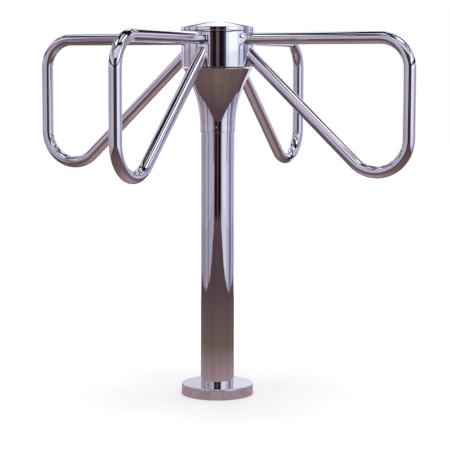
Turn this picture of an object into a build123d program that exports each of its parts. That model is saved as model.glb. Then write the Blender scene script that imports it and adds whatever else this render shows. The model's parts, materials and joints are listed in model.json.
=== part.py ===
# Visitor counter turnstile: a post with a four-arm rotor, an indexing cam and a count sensor.
# Millimetres, +Z up. The origin is on the floor, under the middle of the post.
# The arms lie along +X, -Y, -X and +Y when the rotor is at rest.

import os
from math import cos, degrees, hypot, radians, sin, sqrt, tan

from build123d import *

os.makedirs("parts", exist_ok=True)

# Overall sizes
overall_height = 999.0
arm_reach = 534.0  # hub axis to the centreline of an arm's upright
post_diameter = 88.9
hub_diameter = 195.0
base_diameter = 192.0
arm_tube_diameter = 31.75

# Post and base
post_wall = 3.0
floor_plate_thickness = 10.0
floor_plate_margin = 3.5  # between the floor plate and the inside of the cover
base_cover_height = 29.0
base_cover_wall = 2.5
base_cover_edge_radius = 4.0
base_cover_clearance = 0.5  # cover bore to post
anchor_hole_radius = 6.25
anchor_count = 4
anchor_circle_margin = 23.55  # post surface to the anchor circle
grommet_radius = 18.0
grommet_bore_radius = 9.5
grommet_lip = 3.0
grommet_lip_height = 2.5

# Arms
arm_tube_wall = 2.0
arm_diagonal_angle = 42.9  # below the horizontal
arm_upper_bend_radius = 78.0
arm_lower_bend_radius = 86.4
arm_root_gap = 7.0  # between the two tubes of an arm at the drum
arm_top_margin = 5.1  # from the top run to the top of the drum
arm_bottom_margin = 7.9  # from the diagonal to the bottom of the drum
cope_spare = 1.5  # tube inside the drum before it is coped
arm_plug_length = 32.0
arm_plug_clearance = 0.05
arm_bolt_radius = 4.0
arm_bolt_grip = 18.0  # length of upper bolt inside a plug
arm_bolt_head_radius = 6.5
arm_bolt_head_height = 8.0
arm_bolt_socket_radius = 3.4
arm_bolt_socket_depth = 4.0
arm_bolt_hole_clearance = 0.5
arm_lower_bolt_drop = 3.5  # lower bolt below the diagonal's centre
arm_lower_bolt_tip_gap = 1.2557  # tip of the lower bolt to the bore of the diagonal
saddle_washer_radius = 8.5
saddle_washer_thickness = 5.5

# Hub drum and cap
drum_wall = 4.0
drum_top_thickness = 4.0
drum_top_bore_radius = 60.0
drum_edge_radius = 0.8
drum_upstand_height = 5.0
drum_upstand_wall = 3.0
cap_height = 27.0
cap_skirt_height = 9.5
cap_overhang = 0.8
cap_wall = 4.0
cap_shoulder_radius = 1.5
cap_tip_radius = 1.5
cap_upstand_gap = 1.5

# Bell housing
bell_gap = 3.0  # between the bell's rim and the drum
bell_rim_inset = 5.5
bell_wall = 2.0
bell_flare_radius = 267.0
bell_flare_angle = 26.57  # from the vertical
bell_sleeve_length = 15.0
bell_sleeve_clearance = 0.1
bell_rim_lip = 1.0
bell_rim_height = 2.0
bell_screw_height = 13.5  # above the sleeve's lower edge
bell_screw_azimuths = (-71.0, 49.0, 169.0)
bell_screw_radius = 2.0
bell_screw_head_radius = 3.6
bell_screw_head_height = 2.2
bell_screw_edge_radius = 1.2
bell_screw_socket_radius = 1.4
bell_screw_socket_depth = 1.2
bell_screw_seat_gap = 0.02
bell_screw_reach = 2.0  # beyond the inside of the post

# Spindle and bearings
spindle_diameter = 25.0
bearing_section = 13.5  # inner radius to outer radius
bearing_width = 15.0
bearing_ring_thickness = 4.25
ball_radius = 3.5
ball_clearance = 0.05
ball_count = 9
spindle_shoulder = 3.5
spindle_flange_radius = 22.0
spindle_flange_thickness = 6.0
spindle_tail_step = 2.5
spindle_top_step = 4.5
spindle_thread_spare = 3.0
top_washer_thickness = 3.0
top_washer_radius = 18.0
nut_clearance = 0.1
top_nut_flats = 24.0
top_nut_height = 10.0
tail_washer_thickness = 3.0
tail_washer_radius = 19.0
tail_nut_flats = 30.0
tail_nut_height = 14.0
spacer_wall = 3.0
spacer_clearance = 0.1

# Hub core
core_wall = 8.0  # round a bearing seat
core_bore_step = 4.0  # bearing seat down to the bore between the seats
core_flange_thickness = 7.0
core_flange_clearance = 0.5
core_collar_reach = 30.0
core_collar_thickness = 6.0
core_collar_height = 6.0  # above the bottom of the drum
lower_bearing_height = 1.0  # above the bottom of the drum
upper_bearing_depth = 22.0  # below the top of the drum
drum_floor_thickness = 3.0
drum_floor_clearance = 0.2
drum_floor_bore_gap = 2.0

# Mechanism on the head plate
head_plate_depth = 23.0  # below the bottom of the drum
head_plate_thickness = 10.0
head_plate_bell_gap = 2.5
head_spigot_depth = 10.0
head_spigot_clearance = 0.1
lead_hole_radius = 4.0
lead_hole_place = 33.0
cam_thickness = 8.0
cam_reach = 8.0  # core surface to a lobe
cam_bore_gap = 4.0
cam_notch_radius = 9.0
cam_notch_depth = 5.0
lobe_count = 4
ratchet_thickness = 4.0
ratchet_boss_height = 2.0
ratchet_tip_reach = 5.0
ratchet_tooth_depth = 4.0
ratchet_teeth = 12
cam_screw_radius = 2.0
cam_screw_head_radius = 3.5
cam_screw_head_height = 4.0
cam_screw_grip = 5.0
detent_azimuth = 45.0
detent_roller_radius = 8.0
detent_lift = 0.6  # roller to lobe with the lever held off
detent_reach = 34.0  # pivot to roller
detent_tail = 12.0  # roller to spring hole
lever_thickness = 3.8
lever_half_width = 5.5
pawl_azimuth = 225.0
pawl_reach = 30.0
pawl_tail = 12.0
pawl_nose_radius = 1.5
pawl_lift = 0.6
pawl_face_gap = 1.0  # nose to the face of a tooth
pin_radius = 3.0
pin_clearance = 0.05
pin_collar_radius = 5.0
pin_depth = 6.0  # into the head plate
pin_head_height = 1.4
roller_pin_radius = 2.5
roller_pin_collar_radius = 4.0
axial_play = 0.1
spring_pin_radius = 1.5
spring_wire_radius = 0.5
spring_coil_radius = 2.0
spring_pitch = 1.6
spring_eye_gap = 0.2
spring_level = 3.5  # above the head plate
detent_anchor = (-18.0, 50.0)
pawl_anchor = (-38.0, -56.5)

# Count sensor and magnets
sensor_azimuth = 135.0
sensor_place = 66.0  # from the axis, also of the magnets
sensor_depth = 12.0
sensor_width = 20.0
sensor_height = 12.0
sensor_gap = 2.0  # sensor to magnets
bracket_thickness = 2.0
bracket_foot = 16.0
bracket_width = 18.0
sensor_screw_radius = 1.5
sensor_screw_head_radius = 2.75
sensor_screw_head_height = 2.0
sensor_screw_spacing = 10.0
magnet_radius = 4.0
magnet_height = 3.0

# Screws of the drum and the cap
drum_top_screw_radius = 2.5
drum_top_screw_head_radius = 4.25
drum_top_screw_head_height = 3.0
drum_top_screw_place = 75.0
drum_top_screw_count = 8
drum_top_screw_grip = 6.0
drum_floor_screw_radius = 2.0
drum_floor_screw_head_radius = 3.5
drum_floor_screw_head_height = 2.4
drum_floor_screw_count = 4
drum_floor_screw_margin = 4.5
drum_floor_screw_grip = 5.0
cap_screw_radius = 2.0
cap_screw_azimuths = (116.6, 236.6, 356.6)
cap_screw_height = 2.9  # above the cap's lower edge

# Radii worked out from the diameters
post_radius = post_diameter / 2
drum_radius = hub_diameter / 2
drum_inner_radius = drum_radius - drum_wall
base_radius = base_diameter / 2
tube_radius = arm_tube_diameter / 2
tube_inner_radius = tube_radius - arm_tube_wall
spindle_radius = spindle_diameter / 2
bearing_outer_radius = spindle_radius + bearing_section
core_radius = bearing_outer_radius + core_wall
core_bore_radius = bearing_outer_radius - core_bore_step
core_collar_radius = core_radius + core_collar_reach
cam_radius = core_radius + cam_reach
cam_bore_radius = spindle_radius + spindle_shoulder + cam_bore_gap
ratchet_tip_radius = core_radius + ratchet_tip_reach
ratchet_root_radius = ratchet_tip_radius - ratchet_tooth_depth
cam_screw_place = (bearing_outer_radius + core_radius) / 2
sleeve_inner_radius = post_radius + bell_sleeve_clearance
sleeve_radius = sleeve_inner_radius + bell_wall
bell_rim_radius = drum_radius - bell_rim_inset
floor_plate_radius = base_radius - base_cover_wall - floor_plate_margin
cap_radius = drum_radius + cap_overhang
anchor_circle_radius = post_radius + anchor_circle_margin
tail_radius = spindle_radius - spindle_tail_step
top_thread_radius = spindle_radius - spindle_top_step

# Heights, from the cap down
hub_top = overall_height - cap_height
top_run_height = hub_top - arm_top_margin - tube_radius
slant_half_height = tube_radius / cos(radians(arm_diagonal_angle))
diagonal_root_height = top_run_height - tube_radius - arm_root_gap - slant_half_height
drum_bottom = diagonal_root_height - slant_half_height - arm_bottom_margin
lower_bolt_height = diagonal_root_height - arm_lower_bolt_drop
lower_bolt_rise = (arm_bolt_radius - arm_lower_bolt_drop) * cos(radians(arm_diagonal_angle))
lower_bolt_room = tube_inner_radius - arm_lower_bolt_tip_gap - lower_bolt_rise
lower_bolt_grip = lower_bolt_room / sin(radians(arm_diagonal_angle))
bolt_grips = {top_run_height: arm_bolt_grip, lower_bolt_height: lower_bolt_grip}
core_flange_top = hub_top - drum_top_thickness
core_bottom = drum_bottom
lower_bearing_bottom = drum_bottom + lower_bearing_height
upper_bearing_top = hub_top - upper_bearing_depth
upper_bearing_bottom = upper_bearing_top - bearing_width
drum_floor_bottom = drum_bottom + core_collar_height - drum_floor_thickness
cam_bottom = core_bottom - cam_thickness
ratchet_top = cam_bottom - ratchet_boss_height
ratchet_bottom = ratchet_top - ratchet_thickness
head_top = drum_bottom - head_plate_depth
head_bottom = head_top - head_plate_thickness
lever_bottom = ratchet_bottom - ratchet_boss_height
magnet_bottom = drum_floor_bottom - magnet_height
bell_top = drum_bottom - bell_gap

# The bell: a sleeve, an arc and a straight flare up to the rim
flare = radians(bell_flare_angle)
arc_growth = bell_flare_radius * (1 - cos(flare))
flare_length = (bell_rim_radius - sleeve_radius - arc_growth) / sin(flare)
arc_top = bell_top - flare_length * cos(flare)
arc_bottom = arc_top - bell_flare_radius * sin(flare)
bell_bottom = arc_bottom - bell_sleeve_length
flare_wall = bell_wall / cos(flare)  # measured along the radius
head_plate_radius = bell_rim_radius - (bell_top - head_bottom) * tan(flare) - flare_wall - head_plate_bell_gap

arm_names = {"arm_right": 0, "arm_front": 270, "arm_left": 180, "arm_rear": 90}


def save(piece, name):
    piece.part.label = name
    export_step(piece.part, f"parts/{name}.step")


def outward(azimuth, radius, height):
    """A plane that faces away from the axis; its local Y points up."""
    angle = radians(azimuth)
    return Plane(
        origin=(radius * cos(angle), radius * sin(angle), height),
        x_dir=(-sin(angle), cos(angle), 0),
        z_dir=(cos(angle), sin(angle), 0),
    )


def upright(azimuth):
    """The vertical plane through the axis: local X is the radius and local Y the height."""
    angle = radians(azimuth)
    return Plane(origin=(0, 0, 0), x_dir=(cos(angle), sin(angle), 0), z_dir=(sin(angle), -cos(angle), 0))


def rod(start_plane, radius, length, mode=Mode.ADD):
    with BuildSketch(start_plane) as end_face:
        Circle(radius)
    extrude(end_face.sketch, amount=length, mode=mode)


def ring(outer_radius, inner_radius, bottom, top):
    with BuildPart() as piece:
        with BuildSketch(Plane.XY.offset(bottom)):
            Circle(outer_radius)
            Circle(inner_radius, mode=Mode.SUBTRACT)
        extrude(amount=top - bottom)
    return piece


def vertical_screws(places, seat, radius, length, head_radius, head_height, turned_up):
    """Screws with their heads on the seat: heads above it, or below it when turned up."""
    away = 1 if turned_up else -1
    with BuildPart() as screws:
        with BuildSketch(Plane.XY.offset(seat)):
            with Locations(*places):
                Circle(radius)
        extrude(amount=away * length)
        with BuildSketch(Plane.XY.offset(seat)):
            with Locations(*places):
                Circle(head_radius)
        extrude(amount=-away * head_height)
        with BuildSketch(Plane.XY.offset(seat - away * head_height)):
            with Locations(*places):
                RegularPolygon(head_radius / 2, side_count=6)
        extrude(amount=away * head_height / 2, mode=Mode.SUBTRACT)
    return screws


def around(radius, count, start=0.0):
    step = 360 / count
    return [polar(radius, start + step * i) for i in range(count)]


def polar(radius, azimuth):
    return (radius * cos(radians(azimuth)), radius * sin(radians(azimuth)))


def hex_nut(flats, bore_radius, bottom, height):
    with BuildPart() as nut:
        with BuildSketch(Plane.XY.offset(bottom)):
            RegularPolygon(flats / 2, side_count=6, major_radius=False)
            Circle(bore_radius, mode=Mode.SUBTRACT)
        extrude(amount=height)
    return nut


# Floor plate
with BuildPart() as floor_plate:
    with BuildSketch(Plane.XY):
        Circle(floor_plate_radius)
        Circle(grommet_radius, mode=Mode.SUBTRACT)
        with PolarLocations(anchor_circle_radius, anchor_count, start_angle=45):
            Circle(anchor_hole_radius, mode=Mode.SUBTRACT)
    extrude(amount=floor_plate_thickness)
save(floor_plate, "floor_plate")

# Cable grommet
with BuildPart() as cable_grommet:
    with BuildSketch(Plane.XY):
        Circle(grommet_radius)
    extrude(amount=floor_plate_thickness)
    with BuildSketch(Plane.XY.offset(floor_plate_thickness)):
        Circle(grommet_radius + grommet_lip)
    extrude(amount=grommet_lip_height)
    with BuildSketch(Plane.XY):
        Circle(grommet_bore_radius)
    extrude(amount=floor_plate_thickness + grommet_lip_height, mode=Mode.SUBTRACT)
save(cable_grommet, "cable_grommet")

# Base cover
with BuildPart() as base_cover:
    with BuildSketch(Plane.XY):
        Circle(base_radius)
    extrude(amount=base_cover_height)
    fillet(base_cover.faces().sort_by(Axis.Z)[-1].edges(), radius=base_cover_edge_radius)
    with BuildSketch(Plane.XY):
        Circle(base_radius - base_cover_wall)
    extrude(amount=base_cover_height - base_cover_wall, mode=Mode.SUBTRACT)
    with BuildSketch(Plane.XY):
        Circle(post_radius + base_cover_clearance)
    extrude(amount=base_cover_height, mode=Mode.SUBTRACT)
save(base_cover, "base_cover")

# Post tube, drilled for the bell's screws
bell_screw_level = bell_bottom + bell_screw_height
with BuildPart() as post_tube:
    with BuildSketch(Plane.XY.offset(floor_plate_thickness)):
        Circle(post_radius)
        Circle(post_radius - post_wall, mode=Mode.SUBTRACT)
    extrude(amount=head_bottom - floor_plate_thickness)
    for azimuth in bell_screw_azimuths:
        rod(outward(azimuth, 0, bell_screw_level), bell_screw_radius, post_diameter, Mode.SUBTRACT)
save(post_tube, "post_tube")

# Bell housing
with BuildPart() as bell_housing:
    with BuildSketch(Plane.XZ):
        with BuildLine():
            arc_radius = bell_flare_radius
            rim_start = (bell_rim_radius, bell_top)
            tangent_point = (sleeve_radius + arc_growth, arc_top)
            arc_middle = (
                sleeve_radius + arc_radius * (1 - cos(flare / 2)),
                arc_bottom + arc_radius * sin(flare / 2),
            )
            inner_radius = arc_radius + bell_wall
            inner_tangent = (
                sleeve_inner_radius + inner_radius * (1 - cos(flare)),
                arc_bottom + inner_radius * sin(flare),
            )
            inner_middle = (
                sleeve_inner_radius + inner_radius * (1 - cos(flare / 2)),
                arc_bottom + inner_radius * sin(flare / 2),
            )
            Line((sleeve_radius, bell_bottom), (sleeve_radius, arc_bottom))
            ThreePointArc((sleeve_radius, arc_bottom), arc_middle, tangent_point)
            Line(tangent_point, rim_start)
            Line(rim_start, (bell_rim_radius - flare_wall, bell_top))
            Line((bell_rim_radius - flare_wall, bell_top), inner_tangent)
            ThreePointArc(inner_tangent, inner_middle, (sleeve_inner_radius, arc_bottom))
            Line((sleeve_inner_radius, arc_bottom), (sleeve_inner_radius, bell_bottom))
            Line((sleeve_inner_radius, bell_bottom), (sleeve_radius, bell_bottom))
        make_face()
    revolve(axis=Axis.Z)
    with BuildSketch(Plane.XY.offset(bell_top - bell_rim_height)):
        Circle(bell_rim_radius + bell_rim_lip)
        Circle(bell_rim_radius - flare_wall, mode=Mode.SUBTRACT)
    extrude(amount=bell_rim_height)
    for azimuth in bell_screw_azimuths:
        rod(outward(azimuth, 0, bell_screw_level), bell_screw_radius, post_diameter, Mode.SUBTRACT)
save(bell_housing, "bell_housing")

# Button-head screws of the bell, shaped to the sleeve under their heads
with BuildPart() as bell_screws:
    for azimuth in bell_screw_azimuths:
        face_radius = sleeve_radius + bell_screw_head_height
        rod(outward(azimuth, sleeve_inner_radius, bell_screw_level), bell_screw_head_radius,
            face_radius - sleeve_inner_radius)
    fillet(bell_screws.edges().filter_by(GeomType.CIRCLE).filter_by(
        lambda edge: hypot(edge.arc_center.X, edge.arc_center.Y) > sleeve_radius
    ), radius=bell_screw_edge_radius)
    with BuildSketch(Plane.XY.offset(bell_bottom)):
        Circle(sleeve_radius + bell_screw_seat_gap)
    extrude(amount=2 * bell_screw_height, mode=Mode.SUBTRACT)
    shank_start = post_radius - post_wall - bell_screw_reach
    for azimuth in bell_screw_azimuths:
        rod(outward(azimuth, shank_start, bell_screw_level), bell_screw_radius,
            sleeve_radius + bell_screw_head_height / 2 - shank_start)
        with BuildSketch(outward(azimuth, sleeve_radius + bell_screw_head_height, bell_screw_level)):
            RegularPolygon(bell_screw_socket_radius, side_count=6)
        extrude(amount=-bell_screw_socket_depth, mode=Mode.SUBTRACT)
save(bell_screws, "bell_screws")

# Places on the head plate
roller_centre_radius = cam_radius + detent_roller_radius + detent_lift
detent_angle = radians(detent_azimuth)
detent_along = (sin(detent_angle), -cos(detent_angle))
roller_centre = polar(roller_centre_radius, detent_azimuth)
detent_pivot = tuple(c + detent_reach * d for c, d in zip(roller_centre, detent_along))
detent_spring_hole = tuple(c - detent_tail * d for c, d in zip(roller_centre, detent_along))
pawl_nose_place = ratchet_tip_radius + pawl_lift + pawl_nose_radius
pawl_angle = radians(pawl_azimuth)
pawl_along = (-sin(pawl_angle), cos(pawl_angle))
pawl_nose = polar(pawl_nose_place, pawl_azimuth)
pawl_pivot = tuple(c + pawl_reach * d for c, d in zip(pawl_nose, pawl_along))
pawl_spring_hole = tuple(c + pawl_tail * d for c, d in zip(pawl_pivot, pawl_along))
pawl_bottom = ratchet_bottom
bracket_back = sensor_place - sensor_depth / 2
bracket_screw_radius = bracket_back - bracket_foot / 2
sensor_plane = outward(sensor_azimuth, bracket_back, head_top)
sensor_direction = (cos(radians(sensor_azimuth)), sin(radians(sensor_azimuth)))
sensor_across = (-sensor_direction[1], sensor_direction[0])
sensor_screw_places = [
    tuple(bracket_screw_radius * d + side * sensor_screw_spacing / 2 * a
          for d, a in zip(sensor_direction, sensor_across))
    for side in (-1, 1)
]
spring_centre_height = head_top + spring_level

# Head plate, welded into the top of the post
with BuildPart() as head_plate:
    with BuildSketch(Plane.XY.offset(head_bottom)):
        Circle(head_plate_radius)
    extrude(amount=head_plate_thickness)
    with BuildSketch(Plane.XY.offset(head_bottom)):
        Circle(post_radius - post_wall - head_spigot_clearance)
    extrude(amount=-head_spigot_depth)
    with BuildSketch(Plane.XY.offset(head_bottom - head_spigot_depth)):
        Circle(tail_radius)
        with Locations(polar(lead_hole_place, sensor_azimuth)):
            Circle(lead_hole_radius)
    extrude(amount=head_spigot_depth + head_plate_thickness, mode=Mode.SUBTRACT)
    with BuildSketch(Plane.XY.offset(head_top)):
        with Locations(detent_pivot, pawl_pivot):
            Circle(pin_radius)
        with Locations(detent_anchor, pawl_anchor):
            Circle(spring_pin_radius)
        with Locations(*sensor_screw_places):
            Circle(sensor_screw_radius)
    extrude(amount=-pin_depth, mode=Mode.SUBTRACT)
save(head_plate, "head_plate")

# Spindle: tail in the head plate, flange, shoulder, bearing shaft and threaded top
tail_bottom = head_bottom - head_spigot_depth - tail_washer_thickness - tail_nut_height - spindle_thread_spare
flange_top = head_top + spindle_flange_thickness
top_nut_bottom = upper_bearing_top + top_washer_thickness
spindle_top = top_nut_bottom + top_nut_height + spindle_thread_spare
with BuildPart() as spindle:
    for radius, bottom, top in (
        (tail_radius, tail_bottom, head_top),
        (spindle_flange_radius, head_top, flange_top),
        (spindle_radius + spindle_shoulder, flange_top, lower_bearing_bottom),
        (spindle_radius, lower_bearing_bottom, upper_bearing_top),
        (top_thread_radius, upper_bearing_top, spindle_top),
    ):
        with BuildSketch(Plane.XY.offset(bottom)):
            Circle(radius)
        extrude(amount=top - bottom)
save(spindle, "spindle")

# Washers and nuts of the spindle
tail_washer_bottom = head_bottom - head_spigot_depth - tail_washer_thickness
save(ring(tail_washer_radius, tail_radius + nut_clearance, tail_washer_bottom,
          tail_washer_bottom + tail_washer_thickness), "spindle_tail_washer")
save(hex_nut(tail_nut_flats, tail_radius, tail_washer_bottom - tail_nut_height, tail_nut_height),
     "spindle_tail_nut")
save(ring(top_washer_radius, top_thread_radius + nut_clearance, upper_bearing_top, top_nut_bottom),
     "spindle_top_washer")
save(hex_nut(top_nut_flats, top_thread_radius, top_nut_bottom, top_nut_height), "spindle_top_nut")

# Ball bearings and the tube between their inner rings
for place, bottom in (("lower", lower_bearing_bottom), ("upper", upper_bearing_bottom)):
    pitch_radius = spindle_radius + bearing_section / 2
    middle = bottom + bearing_width / 2
    for side, inner in (("inner", spindle_radius), ("outer", bearing_outer_radius - bearing_ring_thickness)):
        with BuildPart() as bearing_ring:
            with BuildSketch(Plane.XZ):
                with Locations((inner + bearing_ring_thickness / 2, middle)):
                    Rectangle(bearing_ring_thickness, bearing_width)
                with Locations((pitch_radius, middle)):
                    Circle(ball_radius + ball_clearance, mode=Mode.SUBTRACT)
            revolve(axis=Axis.Z)
        save(bearing_ring, f"{place}_bearing_{side}_ring")
    with BuildPart() as balls:
        for x, y in around(pitch_radius, ball_count):
            with Locations((x, y, middle)):
                Sphere(ball_radius)
    save(balls, f"{place}_bearing_balls")
save(ring(spindle_radius + spacer_clearance + spacer_wall, spindle_radius + spacer_clearance,
          lower_bearing_bottom + bearing_width, upper_bearing_bottom), "bearing_spacer")

# Hub core: bearing seats, top flange for the drum and a collar for the drum floor
collar_bottom = drum_bottom + core_collar_height
drum_top_screw_places = around(drum_top_screw_place, drum_top_screw_count, 45 / 2)
drum_floor_screw_place = core_collar_radius - drum_floor_screw_margin
drum_floor_screw_places = around(drum_floor_screw_place, drum_floor_screw_count)
cam_screw_places = around(cam_screw_place, lobe_count)
with BuildPart() as hub_core:
    for radius, bottom, top in (
        (core_radius, core_bottom, core_flange_top),
        (core_collar_radius, collar_bottom, collar_bottom + core_collar_thickness),
        (drum_inner_radius - core_flange_clearance, core_flange_top - core_flange_thickness, core_flange_top),
    ):
        with BuildSketch(Plane.XY.offset(bottom)):
            Circle(radius)
        extrude(amount=top - bottom)
    for radius, bottom, top in (
        (core_bore_radius, core_bottom, core_flange_top),
        (bearing_outer_radius, core_bottom, lower_bearing_bottom + bearing_width),
        (bearing_outer_radius, upper_bearing_bottom, core_flange_top),
    ):
        with BuildSketch(Plane.XY.offset(bottom)):
            Circle(radius)
        extrude(amount=top - bottom, mode=Mode.SUBTRACT)
    with BuildSketch(Plane.XY.offset(core_flange_top)):
        with Locations(*drum_top_screw_places):
            Circle(drum_top_screw_radius)
    extrude(amount=-drum_top_screw_grip, mode=Mode.SUBTRACT)
    with BuildSketch(Plane.XY.offset(collar_bottom)):
        with Locations(*drum_floor_screw_places):
            Circle(drum_floor_screw_radius)
    extrude(amount=drum_floor_screw_grip, mode=Mode.SUBTRACT)
    with BuildSketch(Plane.XY.offset(core_bottom)):
        with Locations(*cam_screw_places):
            Circle(cam_screw_radius)
    extrude(amount=cam_screw_grip, mode=Mode.SUBTRACT)
save(hub_core, "hub_core")

# Drum shell, with an upstand that locates the cap
upstand_radius = cap_radius - cap_wall - cap_upstand_gap
with BuildPart() as drum_shell:
    with BuildSketch(Plane.XY.offset(drum_bottom)):
        Circle(drum_radius)
    extrude(amount=hub_top - drum_bottom)
    fillet(drum_shell.edges(), radius=drum_edge_radius)
    with BuildSketch(Plane.XY.offset(hub_top - drum_edge_radius)):
        Circle(upstand_radius)
    extrude(amount=drum_upstand_height + drum_edge_radius)
    with BuildSketch(Plane.XY.offset(hub_top)):
        Circle(upstand_radius - drum_upstand_wall)
    extrude(amount=drum_upstand_height, mode=Mode.SUBTRACT)
    with BuildSketch(Plane.XY.offset(drum_bottom)):
        Circle(drum_inner_radius)
    extrude(amount=core_flange_top - drum_bottom, mode=Mode.SUBTRACT)
    with BuildSketch(Plane.XY.offset(core_flange_top)):
        Circle(drum_top_bore_radius)
        with Locations(*drum_top_screw_places):
            Circle(drum_top_screw_radius)
    extrude(amount=drum_top_thickness, mode=Mode.SUBTRACT)
    for azimuth in arm_names.values():
        for height in bolt_grips:
            hole_radius = arm_bolt_radius + arm_bolt_hole_clearance
            rod(outward(azimuth, 0, height), hole_radius, drum_radius + drum_wall, Mode.SUBTRACT)
save(drum_shell, "drum_shell")

# Drum floor
with BuildPart() as drum_floor:
    with BuildSketch(Plane.XY.offset(drum_floor_bottom)):
        Circle(drum_inner_radius - drum_floor_clearance)
        Circle(core_radius + drum_floor_bore_gap, mode=Mode.SUBTRACT)
        with Locations(*drum_floor_screw_places):
            Circle(drum_floor_screw_radius, mode=Mode.SUBTRACT)
    extrude(amount=drum_floor_thickness)
save(drum_floor, "drum_floor")

# Screws of the drum
save(vertical_screws(drum_top_screw_places, hub_top, drum_top_screw_radius,
                     -(drum_top_thickness + drum_top_screw_grip), drum_top_screw_head_radius,
                     -drum_top_screw_head_height, True), "drum_top_screws")
save(vertical_screws(drum_floor_screw_places, drum_floor_bottom, drum_floor_screw_radius,
                     drum_floor_thickness + drum_floor_screw_grip, drum_floor_screw_head_radius,
                     drum_floor_screw_head_height, True), "drum_floor_screws")

# Hub cap: a shallow cone with a rounded shoulder and a short skirt
with BuildPart() as hub_cap:
    skirt_top = hub_top + cap_skirt_height
    with BuildSketch(Plane.XZ) as cap_profile:
        Polygon(
            (0, overall_height),
            (cap_tip_radius, overall_height),
            (cap_radius, skirt_top),
            (cap_radius, hub_top),
            (cap_radius - cap_wall, hub_top),
            (cap_radius - cap_wall, skirt_top - cap_wall),
            (cap_tip_radius, overall_height - cap_wall),
            (0, overall_height - cap_wall),
            align=None,
        )
        fillet(cap_profile.vertices().group_by(Axis.X)[-1].sort_by(Axis.Y)[-1], radius=cap_shoulder_radius)
    revolve(axis=Axis.Z)
    for azimuth in cap_screw_azimuths:
        rod(outward(azimuth, 0, hub_top + cap_screw_height), cap_screw_radius, cap_radius, Mode.SUBTRACT)
save(hub_cap, "hub_cap")

# Grub screws of the cap
with BuildPart() as cap_screws:
    for azimuth in cap_screw_azimuths:
        screw_height = hub_top + cap_screw_height
        screw_length = cap_radius - upstand_radius - cap_overhang
        rod(outward(azimuth, upstand_radius, screw_height), cap_screw_radius, screw_length)
        with BuildSketch(outward(azimuth, cap_radius - cap_overhang, screw_height)):
            RegularPolygon(cap_screw_radius / 2, side_count=6)
        extrude(amount=-cap_screw_radius, mode=Mode.SUBTRACT)
save(cap_screws, "cap_screws")

# Arms: one bent tube each, both ends coped to the drum
slope = tan(radians(arm_diagonal_angle))
outer_corner = diagonal_root_height - (arm_reach - drum_radius) * slope
cope_depth = drum_radius - sqrt(drum_radius**2 - tube_radius**2) + cope_spare
slanted_cope_depth = cope_depth + tube_radius * sin(radians(arm_diagonal_angle))
diagonal_end = (drum_radius - slanted_cope_depth, diagonal_root_height + slanted_cope_depth * slope)
for name, azimuth in arm_names.items():
    with BuildPart() as arm:
        with BuildLine(upright(azimuth)) as centreline:
            FilletPolyline(
                (drum_radius - cope_depth, top_run_height),
                (arm_reach, top_run_height),
                (arm_reach, outer_corner),
                diagonal_end,
                radius=(arm_upper_bend_radius, arm_lower_bend_radius),
            )
        route = centreline.wires()[0]
        with BuildSketch(Plane(origin=route @ 0, z_dir=route % 0)):
            Circle(tube_radius)
            Circle(tube_inner_radius, mode=Mode.SUBTRACT)
        sweep(path=route)
        with BuildSketch(Plane.XY.offset(drum_bottom)):
            Circle(drum_radius)
        extrude(amount=overall_height - drum_bottom, mode=Mode.SUBTRACT)
    save(arm, name)

# Plugs welded into the tube ends, coped like them and tapped for the bolts
plug_radius = tube_inner_radius - arm_plug_clearance
for label, height, drop_angle, bolt_height in (
    ("upper_arm_plugs", top_run_height, 0, top_run_height),
    ("lower_arm_plugs", diagonal_root_height, arm_diagonal_angle, lower_bolt_height),
):
    with BuildPart() as plugs:
        for azimuth in arm_names.values():
            angle = radians(azimuth)
            drop = radians(drop_angle)
            along = (cos(angle) * cos(drop), sin(angle) * cos(drop), -sin(drop))
            root = Vector(drum_radius * cos(angle), drum_radius * sin(angle), height)
            start = root - Vector(*along) * arm_plug_length
            rod(Plane(origin=start, z_dir=along), plug_radius, 2 * arm_plug_length)
        with BuildSketch(Plane.XY.offset(drum_bottom)):
            Circle(drum_radius)
        extrude(amount=overall_height - drum_bottom, mode=Mode.SUBTRACT)
        for azimuth in arm_names.values():
            bolt_reach = drum_radius + bolt_grips[bolt_height]
            rod(outward(azimuth, 0, bolt_height), arm_bolt_radius, bolt_reach, Mode.SUBTRACT)
    save(plugs, label)

# Saddle washers and bolts inside the drum
bolt_seat = drum_inner_radius - saddle_washer_thickness
bolt_places = [(azimuth, height) for azimuth in arm_names.values() for height in bolt_grips]
with BuildPart() as arm_washers:
    for azimuth, height in bolt_places:
        rod(outward(azimuth, bolt_seat, height), saddle_washer_radius, saddle_washer_thickness)
    with BuildSketch(Plane.XY.offset(drum_bottom)):
        Circle(drum_radius + drum_wall)
        Circle(drum_inner_radius, mode=Mode.SUBTRACT)
    extrude(amount=hub_top - drum_bottom, mode=Mode.SUBTRACT)
    for azimuth, height in bolt_places:
        hole_radius = arm_bolt_radius + arm_bolt_hole_clearance
        rod(outward(azimuth, 0, height), hole_radius, drum_radius, Mode.SUBTRACT)
save(arm_washers, "arm_washers")

with BuildPart() as arm_bolts:
    for azimuth, height in bolt_places:
        bolt_length = drum_radius + bolt_grips[height] - bolt_seat
        rod(outward(azimuth, bolt_seat, height), arm_bolt_radius, bolt_length)
        rod(outward(azimuth, bolt_seat, height), arm_bolt_head_radius, -arm_bolt_head_height)
        with BuildSketch(outward(azimuth, bolt_seat - arm_bolt_head_height, height)):
            RegularPolygon(arm_bolt_socket_radius, side_count=6)
        extrude(amount=arm_bolt_socket_depth, mode=Mode.SUBTRACT)
save(arm_bolts, "arm_bolts")

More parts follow.
